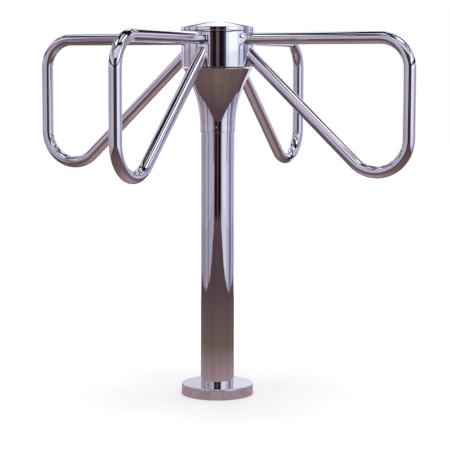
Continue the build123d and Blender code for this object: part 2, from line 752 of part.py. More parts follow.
# Index cam: a disc with one rounded notch between each pair of lobes
notch_place = cam_radius + cam_notch_radius - cam_notch_depth
with BuildPart() as index_cam:
    with BuildSketch(Plane.XY.offset(cam_bottom)):
        Circle(cam_radius)
        Circle(cam_bore_radius, mode=Mode.SUBTRACT)
        with Locations(*around(notch_place, lobe_count, detent_azimuth)):
            Circle(cam_notch_radius, mode=Mode.SUBTRACT)
        with Locations(*cam_screw_places):
            Circle(cam_screw_radius, mode=Mode.SUBTRACT)
    extrude(amount=cam_thickness)
save(index_cam, "index_cam")

# Ratchet wheel, with a boss that spaces it from the cam
face_azimuth = pawl_azimuth - degrees((pawl_nose_radius + pawl_face_gap) / ratchet_tip_radius)
tooth_step = 360 / ratchet_teeth
tooth_points = []
for tooth in range(ratchet_teeth):
    tooth_azimuth = face_azimuth + tooth_step * tooth
    tooth_points.append(polar(ratchet_tip_radius, tooth_azimuth))
    tooth_points.append(polar(ratchet_root_radius, tooth_azimuth))
with BuildPart() as ratchet_wheel:
    with BuildSketch(Plane.XY.offset(ratchet_bottom)):
        Polygon(*tooth_points, align=None)
    extrude(amount=ratchet_thickness)
    with BuildSketch(Plane.XY.offset(ratchet_top)):
        Circle(core_radius)
    extrude(amount=ratchet_boss_height)
    with BuildSketch(Plane.XY.offset(ratchet_bottom)):
        Circle(cam_bore_radius)
        with Locations(*cam_screw_places):
            Circle(cam_screw_radius)
    extrude(amount=ratchet_thickness + ratchet_boss_height, mode=Mode.SUBTRACT)
save(ratchet_wheel, "ratchet_wheel")
save(vertical_screws(cam_screw_places, ratchet_bottom, cam_screw_radius,
                     core_bottom - ratchet_bottom + cam_screw_grip, cam_screw_head_radius,
                     cam_screw_head_height, True), "cam_screws")

# Pivot pins and spring anchors
lever_top = lever_bottom + lever_thickness
pawl_top = pawl_bottom + ratchet_thickness
for name, place, bottom, top in (
    ("detent_pivot_pin", detent_pivot, lever_bottom - axial_play, lever_top + axial_play),
    ("pawl_pivot_pin", pawl_pivot, pawl_bottom - axial_play, pawl_top + axial_play),
):
    with BuildPart() as pivot_pin:
        for radius, start, end in (
            (pin_radius, head_top - pin_depth, top + pin_head_height),
            (pin_collar_radius, head_top, bottom),
            (pin_collar_radius, top, top + pin_head_height),
        ):
            with BuildSketch(Plane.XY.offset(start)):
                with Locations(place):
                    Circle(radius)
            extrude(amount=end - start)
    save(pivot_pin, name)

with BuildPart() as spring_anchor_pins:
    with BuildSketch(Plane.XY.offset(head_top - pin_depth)):
        with Locations(detent_anchor, pawl_anchor):
            Circle(spring_pin_radius)
    extrude(amount=pin_depth + spring_level + spring_coil_radius)
save(spring_anchor_pins, "spring_anchor_pins")


# Detent lever, with a peg for its spring
peg_bottom = spring_centre_height - spring_coil_radius
with BuildPart() as detent_lever:
    with BuildSketch(Plane.XY.offset(lever_bottom)):
        with Locations(detent_pivot, detent_spring_hole):
            Circle(lever_half_width)
        make_hull()
        with Locations(detent_pivot):
            Circle(pin_radius + pin_clearance, mode=Mode.SUBTRACT)
        with Locations(roller_centre):
            Circle(roller_pin_radius, mode=Mode.SUBTRACT)
    extrude(amount=lever_thickness)
    with BuildSketch(Plane.XY.offset(peg_bottom)):
        with Locations(detent_spring_hole):
            Circle(spring_pin_radius)
    extrude(amount=lever_bottom - peg_bottom)
save(detent_lever, "detent_lever")

# Roller pin and roller
roller_bottom = cam_bottom
with BuildPart() as roller_pin:
    for radius, start, end in (
        (roller_pin_radius, lever_bottom, cam_bottom + cam_thickness + axial_play + pin_head_height),
        (roller_pin_collar_radius, lever_top, roller_bottom - axial_play),
        (roller_pin_collar_radius, core_bottom + axial_play, core_bottom + axial_play + pin_head_height),
    ):
        with BuildSketch(Plane.XY.offset(start)):
            with Locations(roller_centre):
                Circle(radius)
        extrude(amount=end - start)
save(roller_pin, "roller_pin")

with BuildPart() as detent_roller:
    with BuildSketch(Plane.XY.offset(roller_bottom)):
        with Locations(roller_centre):
            Circle(detent_roller_radius)
            Circle(roller_pin_radius + pin_clearance, mode=Mode.SUBTRACT)
    extrude(amount=cam_thickness)
save(detent_roller, "detent_roller")

# Pawl: a nose and a tail on one boss, with a peg for its spring
with BuildPart() as pawl:
    for end, radius in ((pawl_nose, pawl_nose_radius), (pawl_spring_hole, lever_half_width / 2)):
        with BuildSketch(Plane.XY.offset(pawl_bottom)):
            with Locations(pawl_pivot):
                Circle(lever_half_width)
            with Locations(end):
                Circle(radius)
            make_hull()
        extrude(amount=ratchet_thickness)
    with BuildSketch(Plane.XY.offset(pawl_bottom)):
        with Locations(pawl_pivot):
            Circle(pin_radius + pin_clearance)
    extrude(amount=ratchet_thickness, mode=Mode.SUBTRACT)
    with BuildSketch(Plane.XY.offset(peg_bottom)):
        with Locations(pawl_spring_hole):
            Circle(spring_pin_radius)
    extrude(amount=pawl_bottom - peg_bottom)
save(pawl, "pawl")

# Tension springs: a close coil between two eyes
eye_radius = spring_pin_radius + spring_eye_gap + spring_wire_radius
for name, start, end in (
    ("detent_spring", detent_spring_hole, detent_anchor),
    ("pawl_spring", pawl_spring_hole, pawl_anchor),
):
    start_point = Vector(start[0], start[1], spring_centre_height)
    end_point = Vector(end[0], end[1], spring_centre_height)
    direction = (end_point - start_point).normalized()
    coil_length = (end_point - start_point).length - 2 * (eye_radius + spring_wire_radius)
    coil_start = start_point + direction * (eye_radius + spring_wire_radius)
    with BuildPart() as spring:
        with BuildLine():
            coil = Helix(
                spring_pitch, coil_length, spring_coil_radius, center=coil_start, direction=direction
            )
        with BuildSketch(Plane(origin=coil @ 0, z_dir=coil % 0)):
            Circle(spring_wire_radius)
        sweep()
        for middle in (start_point, end_point):
            with Locations(middle):
                Torus(eye_radius, spring_wire_radius)
        eye_reach = direction * eye_radius
        for coil_end, eye_side in ((coil @ 0, start_point + eye_reach), (coil @ 1, end_point - eye_reach)):
            leg = eye_side - coil_end
            with BuildSketch(Plane(origin=coil_end, z_dir=leg)):
                Circle(spring_wire_radius)
            extrude(amount=leg.length)
    save(spring, name)

# Count sensor on its bracket
with BuildPart() as sensor_bracket:
    bracket_top = magnet_bottom - sensor_gap
    with BuildSketch(sensor_plane):
        with Locations((0, (bracket_top - head_top) / 2)):
            Rectangle(bracket_width, bracket_top - head_top)
    extrude(amount=-bracket_thickness)
    with BuildSketch(sensor_plane):
        with Locations((0, bracket_thickness / 2)):
            Rectangle(bracket_width, bracket_thickness)
    extrude(amount=-bracket_foot)
    with BuildSketch(Plane.XY.offset(head_top)):
        with Locations(*sensor_screw_places):
            Circle(sensor_screw_radius)
    extrude(amount=bracket_thickness, mode=Mode.SUBTRACT)
save(sensor_bracket, "sensor_bracket")

with BuildPart() as count_sensor:
    sensor_middle = bracket_top - sensor_height / 2 - head_top
    with BuildSketch(sensor_plane):
        with Locations((0, sensor_middle)):
            RectangleRounded(sensor_width, sensor_height, bracket_thickness)
    extrude(amount=sensor_depth)
save(count_sensor, "count_sensor")

sensor_screws = vertical_screws(
    sensor_screw_places, head_top + bracket_thickness, sensor_screw_radius,
    -(bracket_thickness + pin_depth), sensor_screw_head_radius, -sensor_screw_head_height, True,
)
save(sensor_screws, "sensor_screws")

# Magnets under the drum floor, one for each arm
with BuildPart() as count_magnets:
    with BuildSketch(Plane.XY.offset(magnet_bottom)):
        with Locations(*around(sensor_place, lobe_count, sensor_azimuth)):
            Circle(magnet_radius)
    extrude(amount=magnet_height)
save(count_magnets, "count_magnets")
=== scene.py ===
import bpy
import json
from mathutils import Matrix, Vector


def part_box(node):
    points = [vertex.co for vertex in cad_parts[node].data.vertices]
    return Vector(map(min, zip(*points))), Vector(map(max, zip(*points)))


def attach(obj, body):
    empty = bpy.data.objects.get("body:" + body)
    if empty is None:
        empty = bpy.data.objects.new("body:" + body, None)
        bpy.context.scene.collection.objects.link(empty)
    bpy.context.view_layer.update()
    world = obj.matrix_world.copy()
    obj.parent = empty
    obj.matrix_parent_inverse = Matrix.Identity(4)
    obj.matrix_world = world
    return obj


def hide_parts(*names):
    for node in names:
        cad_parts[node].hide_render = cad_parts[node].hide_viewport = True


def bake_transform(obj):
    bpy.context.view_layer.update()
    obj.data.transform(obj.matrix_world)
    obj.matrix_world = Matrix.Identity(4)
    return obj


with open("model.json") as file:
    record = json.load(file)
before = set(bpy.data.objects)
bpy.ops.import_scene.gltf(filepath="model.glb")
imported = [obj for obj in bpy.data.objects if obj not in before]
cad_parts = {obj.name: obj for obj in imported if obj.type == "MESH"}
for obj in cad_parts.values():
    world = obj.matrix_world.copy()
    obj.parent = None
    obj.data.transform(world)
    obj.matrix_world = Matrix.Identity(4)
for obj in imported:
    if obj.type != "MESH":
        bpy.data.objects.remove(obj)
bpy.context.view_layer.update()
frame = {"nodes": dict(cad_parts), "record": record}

import json
from math import atan2, cos, hypot, pi, radians, sin, sqrt, tan

import bmesh
import bpy
from mathutils import Matrix, Vector

nodes = frame["nodes"]
mm = 0.001


# ---- shader helpers

class Sock:
    # a shader socket that can stand in an expression
    def __init__(self, shader, socket):
        self.shader = shader
        self.socket = socket

    def math(self, operation, first, second):
        return self.shader.node("ShaderNodeMath", {"operation": operation}, {0: first, 1: second})

    def __add__(self, other):
        return self.math("ADD", self, other)

    def __radd__(self, other):
        return self.math("ADD", other, self)

    def __sub__(self, other):
        return self.math("SUBTRACT", self, other)

    def __rsub__(self, other):
        return self.math("SUBTRACT", other, self)

    def __mul__(self, other):
        return self.math("MULTIPLY", self, other)

    def __rmul__(self, other):
        return self.math("MULTIPLY", other, self)

    def __truediv__(self, other):
        return self.math("DIVIDE", self, other)

    def __rtruediv__(self, other):
        return self.math("DIVIDE", other, self)

    def __pow__(self, other):
        return self.math("POWER", self, other)


class Shader:
    # a material with one Principled surface
    def __init__(self, name, **constants):
        self.material = bpy.data.materials.new(name)
        self.material.use_nodes = True
        self.tree = self.material.node_tree
        self.surface = self.tree.nodes["Principled BSDF"]
        for label, value in constants.items():
            self.surface.inputs[label.replace("_", " ")].default_value = value

    def node(self, kind, settings=None, values=None, out=0):
        made = self.tree.nodes.new(kind)
        for key, value in (settings or {}).items():
            if key == "stops":
                ramp = made.color_ramp
                while len(ramp.elements) < len(value):
                    ramp.elements.new(0.5)
                for element, (place, colour) in zip(ramp.elements, value):
                    element.position = place
                    element.color = colour if len(colour) == 4 else (*colour, 1)
            else:
                setattr(made, key, value)
        for key, value in (values or {}).items():
            self.put(made.inputs[key], value)
        return Sock(self, made.outputs[out])

    def put(self, target, value):
        if isinstance(value, Sock):
            self.tree.links.new(value.socket, target)
        else:
            target.default_value = value

    def feed(self, label, value):
        self.put(self.surface.inputs[label], value)

    def place(self, stretch=(1, 1, 1)):
        where = self.node("ShaderNodeTexCoord", out=3)
        return self.node("ShaderNodeVectorMath", {"operation": "MULTIPLY"}, {0: where, 1: stretch})

    def noise(self, scale, detail=2.0, stretch=(1, 1, 1), rough=0.5):
        return self.node("ShaderNodeTexNoise", {"noise_dimensions": "3D"},
                         {"Vector": self.place(stretch), "Scale": scale, "Detail": detail, "Roughness": rough})

    def ramp(self, factor, stops):
        return self.node("ShaderNodeValToRGB", {"stops": stops}, {"Fac": factor})

    def blend(self, factor, first, second):
        return self.node("ShaderNodeMix", {"data_type": "RGBA"}, {0: factor, 6: first, 7: second}, out=2)

    def bump(self, height, strength, distance, normal=None):
        values = {"Height": height, "Strength": strength, "Distance": distance}
        if normal is not None:
            values["Normal"] = normal
        return self.node("ShaderNodeBump", {}, values)


def grey(level):
    return (level, level, level, 1)


# ---- finishes

chromePlate = {
    "bright": (0.86, 0.85, 0.875, 1), "dull": (0.79, 0.775, 0.80, 1),
    "roughness": 0.018, "smudge": 0.04, "scratch": 0.02,
    "waveScale": 11.0, "waveDepth": 0.00035, "pitScale": 1400.0, "pitDepth": 0.000006,
}


def makeChrome(name, dust=0.0, lengthwise=(1, 1, 0.04)):
    p = chromePlate
    s = Shader(name, Metallic=1.0, Specular_IOR_Level=0.5)
    cloud = s.ramp(s.noise(7.0, 4.0), [(0.36, grey(0)), (0.68, grey(1))])
    finger = s.ramp(s.noise(38.0, 5.0, rough=0.62), [(0.50, grey(0)), (0.74, grey(1))])
    lines = s.ramp(s.noise(620.0, 2.0, lengthwise), [(0.55, grey(0)), (0.80, grey(1))])
    s.feed("Base Color", s.blend(cloud * 0.7 + finger * 0.3, p["bright"], p["dull"]))
    height = s.node("ShaderNodeSeparateXYZ", {}, {0: s.place()}, out=2)
    low = s.node("ShaderNodeMapRange", {"clamp": True}, {0: height, 1: 0.16, 2: 0.0, 3: 0.0, 4: 1.0})
    grit = s.ramp(s.noise(190.0, 6.0, rough=0.7), [(0.52, grey(0)), (0.66, grey(1))])
    scuff = low * grit * dust
    s.feed("Roughness", p["roughness"] + p["smudge"] * finger * cloud + p["scratch"] * lines + scuff)
    wave = s.bump(s.noise(p["waveScale"], 1.0), 1.0, p["waveDepth"])
    s.feed("Normal", s.bump(s.noise(p["pitScale"], 2.0), 1.0, p["pitDepth"], wave))
    return s.material


def makePlated():
    s = Shader("zincPlate", Metallic=1.0)
    spangle = s.noise(55.0, 5.0, rough=0.7)
    s.feed("Base Color", s.ramp(spangle, [(0.3, (0.52, 0.53, 0.56)), (0.7, (0.70, 0.70, 0.68))]))
    s.feed("Roughness", 0.24 + 0.2 * spangle)
    s.feed("Normal", s.bump(s.noise(300.0, 3.0), 0.4, 0.0001))
    return s.material


def makeGround(name, light, dark, rough, lines=900.0):
    s = Shader(name, Metallic=1.0)
    grain = s.noise(lines, 3.0, (1, 1, 0.05))
    stain = s.noise(24.0, 4.0)
    s.feed("Base Color", s.blend(stain, light, dark))
    s.feed("Roughness", rough + 0.15 * grain)
    s.feed("Normal", s.bump(grain, 0.3, 0.00005))
    return s.material


def makeMoulded(name, light, dark, rough, grainScale=700.0):
    s = Shader(name)
    grain = s.noise(grainScale, 2.0)
    s.feed("Base Color", s.blend(s.noise(30.0, 4.0), light, dark))
    s.feed("Roughness", rough + 0.12 * grain)
    s.feed("Normal", s.bump(grain, 0.35, 0.00012))
    return s.material


def makeCast():
    s = Shader("castHub", Metallic=1.0)
    skin = s.noise(420.0, 6.0, rough=0.7)
    s.feed("Base Color", s.ramp(skin, [(0.3, (0.48, 0.49, 0.50)), (0.7, (0.66, 0.66, 0.67))]))
    s.feed("Roughness", 0.42 + 0.2 * skin)
    s.feed("Normal", s.bump(skin, 0.6, 0.0004))
    return s.material


finishes = {
    "chrome": makeChrome("chromePlate"),
    "chromeLow": makeChrome("chromeBase", dust=0.18),
    "plated_steel": makePlated(),
    "bearing_steel": makeGround("bearingSteel", (0.72, 0.72, 0.73, 1), (0.62, 0.62, 0.64, 1), 0.12),
    "cast_hub": makeCast(),
    "hard_steel": makeGround("hardSteel", (0.38, 0.37, 0.38, 1), (0.26, 0.25, 0.27, 1), 0.26),
    "spring_steel": makeGround("springWire", (0.34, 0.34, 0.36, 1), (0.24, 0.23, 0.24, 1), 0.3, 1500.0),
    "nylon": makeMoulded("nylonRoller", (0.84, 0.82, 0.75, 1), (0.76, 0.73, 0.66, 1), 0.38),
    "sensor_plastic": makeMoulded("sensorCase", (0.035, 0.035, 0.04, 1), (0.02, 0.02, 0.022, 1), 0.42),
    "rubber": makeMoulded("grommetRubber", (0.025, 0.025, 0.025, 1), (0.04, 0.038, 0.036, 1), 0.6, 350.0),
    "magnet": makeGround("magnetPlate", (0.68, 0.67, 0.64, 1), (0.58, 0.57, 0.55, 1), 0.18),
}
for entry in frame["record"]["subparts"]:
    mesh = nodes[entry["node"]].data
    mesh.materials.clear()
    mesh.materials.append(finishes[entry["material_slot"]])
    for face in mesh.polygons:
        face.material_index = 0
print("finishes done")


# ---- mesh helpers

def arcPoints(centre, radius, start, end, count):
    # points on an arc, angles in degrees, in the plane of radius and height
    return [
        (centre[0] + radius * cos(radians(start + (end - start) * i / count)),
         centre[1] + radius * sin(radians(start + (end - start) * i / count)))
        for i in range(count + 1)
    ]


def spaced(first, last, count):
    # points on a line, without its first one
    return [
        (first[0] + (last[0] - first[0]) * i / count, first[1] + (last[1] - first[1]) * i / count)
        for i in range(1, count + 1)
    ]


def finish(name, bm, body, material, stands, sharp=32):
    bmesh.ops.recalc_face_normals(bm, faces=bm.faces)
    mesh = bpy.data.meshes.new(name)
    bm.to_mesh(mesh)
    bm.free()
    mesh.materials.append(material)
    mesh.shade_smooth()
    mesh.set_sharp_from_angle(angle=radians(sharp))
    piece = bpy.data.objects.new(name, mesh)
    bpy.context.collection.objects.link(piece)
    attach(piece, body)
    if stands:
        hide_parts(*stands)
    return piece


def lathe(profile, steps=192):
    # turns a closed profile of (radius, height) in metres; a radius of 0 is a pole
    bm = bmesh.new()
    rings = []
    for radius, height in profile:
        if radius < 1e-7:
            rings.append([bm.verts.new((0, 0, height))])
        else:
            rings.append([
                bm.verts.new((radius * cos(2 * pi * i / steps), radius * sin(2 * pi * i / steps), height))
                for i in range(steps)
            ])
    for k, ring in enumerate(rings):
        after = rings[(k + 1) % len(rings)]
        if len(ring) == 1 and len(after) == 1:
            continue
        for i in range(steps):
            j = (i + 1) % steps
            if len(ring) == 1:
                bm.faces.new((ring[0], after[i], after[j]))
            elif len(after) == 1:
                bm.faces.new((ring[j], ring[i], after[0]))
            else:
                bm.faces.new((ring[i], after[i], after[j], ring[j]))
    return bm


# ---- sizes read from the frame

low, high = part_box("drum_shell")
capLow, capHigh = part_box("hub_cap")
bellLow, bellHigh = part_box("bell_housing")
postLow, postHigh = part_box("post_tube")
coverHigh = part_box("base_cover")[1]
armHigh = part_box("arm_right")[1]

# ---- post

post = {"radius": 44.45 * mm, "wall": 3.0 * mm}


def makePost():
    outer, inner = post["radius"], post["radius"] - post["wall"]
    profile = [(outer, postLow[2])] + spaced((outer, postLow[2]), (outer, postHigh[2]), 24)
    profile += [(inner, postHigh[2])] + spaced((inner, postHigh[2]), (inner, postLow[2]), 4)
    finish("postTube", lathe(profile), "pedestal", finishes["chromeLow"], ["post_tube"])


# ---- base cover

cover = {"wall": 2.5 * mm, "edge": 4.0 * mm, "gap": 0.5 * mm, "lip": 0.5 * mm}


def makeCover():
    outer, top, wall = coverHigh[0], coverHigh[2], cover["wall"]
    bore, edge, lip = post["radius"] + cover["gap"], cover["edge"], cover["lip"]
    profile = [(outer - lip, 0.0)] + spaced((outer - lip, 0.0), (outer, lip), 2)
    profile += spaced((outer, lip), (outer, top - edge), 4)
    profile += arcPoints((outer - edge, top - edge), edge, 0, 90, 12)[1:]
    profile += spaced((outer - edge, top), (bore + lip, top), 8)
    profile += [(bore, top - lip), (bore, top - wall), (outer - wall, top - wall), (outer - wall, 0.0)]
    finish("baseCover", lathe(profile, 224), "cover", finishes["chromeLow"], ["base_cover"])


# ---- bell housing

bell = {"flare": 267.0 * mm, "angle": 26.57, "sleeve": 15.0 * mm, "wall": 2.0 * mm,
        "gap": 0.1 * mm, "lip": 1.0 * mm, "lipHeight": 2.0 * mm, "bead": 0.6 * mm}


def makeBell():
    inner = post["radius"] + bell["gap"]
    sleeve = inner + bell["wall"]
    bottom, top = bellLow[2], bellHigh[2]
    start = bottom + bell["sleeve"]
    radius, angle = bell["flare"], bell["angle"]
    rim = bellHigh[0] - bell["lip"]
    bead = bell["bead"]
    profile = [(sleeve - bead, bottom)] + arcPoints((sleeve - bead, bottom + bead), bead, -90, 0, 5)[1:]
    profile += spaced((sleeve, bottom + bead), (sleeve, start), 3)
    profile += arcPoints((sleeve + radius, start), radius, 180, 180 - angle, 40)[1:]
    lipBottom = top - bell["lipHeight"]
    lineEnd = (rim - bell["lipHeight"] * tan(radians(angle)), lipBottom)
    profile += spaced(profile[-1], lineEnd, 10)
    outer = rim + bell["lip"]
    profile += [(outer - bead, lipBottom)]
    profile += arcPoints((outer - bead, lipBottom + bead), bead, -90, 0, 5)[1:]
    profile += arcPoints((outer - bead, top - bead), bead, 0, 90, 5)
    wallAcross = bell["wall"] / cos(radians(angle))
    profile += [(rim - wallAcross, top)]
    inside = arcPoints((inner + radius + bell["wall"], start), radius + bell["wall"], 180 - angle, 180, 24)
    profile += inside + [(inner, bottom)]
    finish("bellHousing", lathe(profile, 224), "pedestal", finishes["chrome"], ["bell_housing"], 28)


# ---- drum

drum = {"wall": 4.0 * mm, "topBore": 60.0 * mm, "top": 4.0 * mm, "edge": 0.9 * mm,
        "upstand": 92.8 * mm, "upstandWall": 3.0 * mm}


def makeDrum():
    outer, wall, edge = high[0], drum["wall"], drum["edge"]
    bottom, top = low[2], capLow[2]
    profile = [(outer - wall, bottom), (outer - edge, bottom)]
    profile += arcPoints((outer - edge, bottom + edge), edge, -90, 0, 6)[1:]
    profile += spaced((outer, bottom + edge), (outer, top - edge), 16)
    profile += arcPoints((outer - edge, top - edge), edge, 0, 90, 6)[1:]
    upstand = drum["upstand"]
    profile += [(upstand, top), (upstand, high[2]), (upstand - drum["upstandWall"], high[2]),
                (upstand - drum["upstandWall"], top), (drum["topBore"], top), (drum["topBore"], top - drum["top"]),
                (outer - wall, top - drum["top"])]
    finish("drumShell", lathe(profile, 224), "rotor", finishes["chrome"], ["drum_shell"], 28)


# ---- hub cap

cap = {"skirt": 9.5 * mm, "wall": 4.0 * mm, "shoulder": 1.5 * mm, "edge": 0.6 * mm, "tip": 26.0 * mm,
       "screwHeight": 2.9 * mm, "screwAzimuths": (116.6, 236.6, 356.6), "screwHole": 2.1 * mm}


def makeCap():
    outer, bottom, top = capHigh[0], capLow[2], capHigh[2]
    corner = (outer, bottom + cap["skirt"])
    slope = atan2(top - corner[1], outer)  # of the cone, above the horizontal
    back = cap["shoulder"] * tan((pi / 2 - slope) / 2)
    centre = (outer - cap["shoulder"], corner[1] - back)
    edge = cap["edge"]
    profile = [(outer - cap["wall"], bottom), (outer - edge, bottom)]
    profile += arcPoints((outer - edge, bottom + edge), edge, -90, 0, 5)[1:]
    profile += spaced((outer, bottom + edge), (outer, centre[1]), 4)
    profile += arcPoints(centre, cap["shoulder"], 0, 90 - slope * 180 / pi, 20)[1:]
    tipRadius = cap["tip"] * sin(slope)
    tipTop = top - cap["tip"] * (1 / cos(slope) - 1) * 0.5
    lineEnd = (tipRadius, top - tipRadius * tan(slope))
    profile += spaced(profile[-1], lineEnd, 24)
    for i in range(1, 8):
        part = 1 - i / 8
        profile.append((tipRadius * part, lineEnd[1] + (tipTop - lineEnd[1]) * (1 - part * part)))
    profile.append((0.0, tipTop))
    wall = cap["wall"]
    profile += [(0.0, top - wall), (outer - wall, corner[1] - wall)]
    bm = lathe(profile, 224)
    piece = finish("hubCap", bm, "rotor", finishes["chrome"], ["hub_cap"], 24)
    drillBm = bmesh.new()
    for azimuth in cap["screwAzimuths"]:
        a = radians(azimuth)
        middle = Vector((cos(a) * outer, sin(a) * outer, bottom + cap["screwHeight"]))
        turn = Vector((cos(a), sin(a), 0)).to_track_quat("Z", "Y").to_matrix().to_4x4()
        bmesh.ops.create_cone(drillBm, cap_ends=True, segments=24, radius1=cap["screwHole"],
                              radius2=cap["screwHole"], depth=3 * wall,
                              matrix=Matrix.Translation(middle) @ turn)
    drillMesh = bpy.data.meshes.new("capDrill")
    drillBm.to_mesh(drillMesh)
    drillBm.free()
    drill = bpy.data.objects.new("capDrill", drillMesh)
    bpy.context.collection.objects.link(drill)
    cut = piece.modifiers.new("holes", "BOOLEAN")
    cut.object = drill
    cut.solver = "EXACT"
    bpy.context.view_layer.update()
    evaluated = piece.evaluated_get(bpy.context.evaluated_depsgraph_get())
    drilled = bpy.data.meshes.new_from_object(evaluated)
    piece.modifiers.clear()
    piece.data = drilled
    bpy.data.objects.remove(drill)


# ---- arms

arm = {"radius": 15.875 * mm, "reach": 534.0 * mm, "angle": 42.9, "upperBend": 78.0 * mm,
       "lowerBend": 86.4 * mm, "rootGap": 7.0 * mm, "round": 64, "weld": 1.6 * mm}
armPlaces = {
    "Right": ("arm_right", 0), "Rear": ("arm_rear", 90),
    "Left": ("arm_left", 180), "Front": ("arm_front", 270),
}


def armRoute():
    # the centreline as (radius, height) points
    r, slope = arm["radius"], tan(radians(arm["angle"]))
    topRun = armHigh[2] - r
    root = topRun - r - arm["rootGap"] - r / cos(radians(arm["angle"]))
    drumRadius = high[0]
    corner = root - (arm["reach"] - drumRadius) * slope
    route = [(drumRadius + s, topRun) for s in (0, 0.3 * mm, 0.7 * mm, 1.1 * mm, 1.6 * mm, 2.4 * mm, 6 * mm)]
    bend = arm["upperBend"]
    route += spaced(route[-1], (arm["reach"] - bend, topRun), 26)
    route += arcPoints((arm["reach"] - bend, topRun - bend), bend, 90, 0, 28)[1:]
    bend = arm["lowerBend"]
    turn = 180 - (90 - arm["angle"])
    back = bend * tan(radians(turn / 2))
    route += spaced(route[-1], (arm["reach"], corner + back), 12)
    route += arcPoints((arm["reach"] - bend, corner + back), bend, 0, -turn, 44)[1:]
    last = Vector((-cos(radians(arm["angle"])), sin(radians(arm["angle"]))))
    finalLength = (arm["reach"] - back * cos(radians(arm["angle"])) - drumRadius) / cos(radians(arm["angle"]))
    start = Vector(route[-1])
    stops = [finalLength * i / 22 for i in range(1, 22)]
    stops += [finalLength - s for s in (6 * mm, 2.4 * mm, 1.6 * mm, 1.1 * mm, 0.7 * mm, 0.3 * mm, 0)]
    route += [tuple(start + last * s) for s in stops]
    return route


def makeArm(label, node, azimuth):
    route = armRoute()
    steps, drumRadius, weld = arm["round"], high[0], arm["weld"]
    count = len(route)
    turn = Matrix.Rotation(radians(azimuth), 4, "Z")
    bm = bmesh.new()
    rings = []
    for k, (r, z) in enumerate(route):
        before, after = Vector(route[max(k - 1, 0)]), Vector(route[min(k + 1, count - 1)])
        along = (after - before).normalized()
        across = Vector((-along.y, along.x))
        fromEnd = min(k, count - 1 - k)
        reach = abs(r - drumRadius) if k < count / 2 else hypot(r - route[-1][0], z - route[-1][1])
        swell = 0.0
        if fromEnd < 7 and reach < weld:
            swell = weld - sqrt(weld * weld - (weld - reach) ** 2)  # a concave fillet up to the drum
        ring = []
        for i in range(steps):
            a = 2 * pi * i / steps
            size = arm["radius"] + swell
            x, y = r + across.x * size * cos(a), size * sin(a)
            h = z + across.y * size * cos(a)
            if fromEnd < 7:  # slides each end point along the tube until it meets the drum
                outward = along if k < count / 2 else -along
                aa = outward.x ** 2
                bb = x * outward.x
                cc = x * x + y * y - (drumRadius + (0 if fromEnd else -0.4 * mm) + reach * abs(outward.x)) ** 2
                shift = (-bb + sqrt(bb * bb - aa * cc)) / aa
                x += outward.x * shift
                h += outward.y * shift
            ring.append(bm.verts.new(turn @ Vector((x, y, h))))
        rings.append(ring)
    for first, second in zip(rings, rings[1:]):
        for i in range(steps):
            j = (i + 1) % steps
            bm.faces.new((first[i], first[j], second[j], second[i]))
    bm.faces.new(rings[0])
    bm.faces.new(rings[-1])
    finish("arm" + label, bm, "rotor", finishes["chrome"], [node], 40)


# ---- springs: one end sits in its lever's hole, the other on a fixed pin; each is copied, in place, from its part

springs = {
    "pawlSpring": {"node": "pawl_spring", "lever": "ratchet_pawl", "hole": (0.636, -58.761), "pin": (-38.0, -56.5)},
    "detentSpring": {"node": "detent_spring", "lever": "detent", "hole": (27.294, 44.265), "pin": (-18.0, 50.0)},
}


def makeSprings():
    for name, spring in springs.items():
        piece = bpy.data.objects.new(name, nodes[spring["node"]].data.copy())
        bpy.context.collection.objects.link(piece)
        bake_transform(piece)
        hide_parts(spring["node"])


makePost()
makeCover()
makeBell()
makeDrum()
makeCap()
for label, (node, azimuth) in armPlaces.items():
    makeArm(label, node, azimuth)
for name, piece in nodes.items():
    piece.data.shade_smooth()
    piece.data.set_sharp_from_angle(angle=radians(30))
makeSprings()
print("pieces done")

# ---- floor and studio

cameraAzimuth = 26.585  # of the camera about the post, from the -Y side
studio = {
    "side": 1.9, "front": 4.8, "back": 1.6, "height": 3.1, "wedge": 3.0,
    "levels": (0.0, 0.25, 0.62, 0.95, 1.16, 1.36, 1.52, 2.0, 2.2, 2.7, 3.1),
    # gains: painted light and shade of the reflected walls per height band, brighter up the wall, with near-black
    # bands at 1.16-1.36 m and 2.0-2.2 m as painted dark lines
    "paintedLightGains": (0.80, 0.94, 1.04, 1.28, 0.06, 1.35, 1.5, 0.10, 1.0, 0.25), "ceiling": (0.70, 0.70, 0.88),
    # colours of the painted floor reflection, glowing and seen only in reflections: lighter by the base, browner
    # farther out
    "floorNear": (0.37, 0.27, 0.30), "floorMiddle": (0.17, 0.115, 0.105), "floorFar": (0.10, 0.062, 0.075),
}
# wall panels, a painted reflection of a room's light and dark walls, glowing and seen only in reflections: end
# azimuth right of the camera, colour
panels = [
    (-152, (0.72, 0.72, 0.84)), (-146, (0.05, 0.035, 0.06)), (-128, (0.62, 0.58, 0.72)), (-122, (0.10, 0.07, 0.11)),
    (-99, (0.44, 0.36, 0.47)), (-93, (0.20, 0.15, 0.20)), (-72, (0.52, 0.48, 0.60)), (-64, (0.24, 0.19, 0.26)),
    (-35, (0.50, 0.48, 0.60)), (-24, (0.56, 0.48, 0.60)), (-16, (0.045, 0.03, 0.045)), (-5, (0.010, 0.006, 0.010)),
    (4, (0.12, 0.075, 0.075)), (18, (0.008, 0.006, 0.010)), (25, (0.06, 0.045, 0.065)), (34, (0.66, 0.69, 0.80)),
    (62, (0.86, 0.90, 1.02)), (84, (0.60, 0.64, 0.84)), (90, (0.14, 0.11, 0.20)), (106, (0.30, 0.25, 0.40)),
    (130, (0.56, 0.52, 0.70)), (137, (0.04, 0.03, 0.05)), (180, (0.84, 0.86, 0.98)),
]
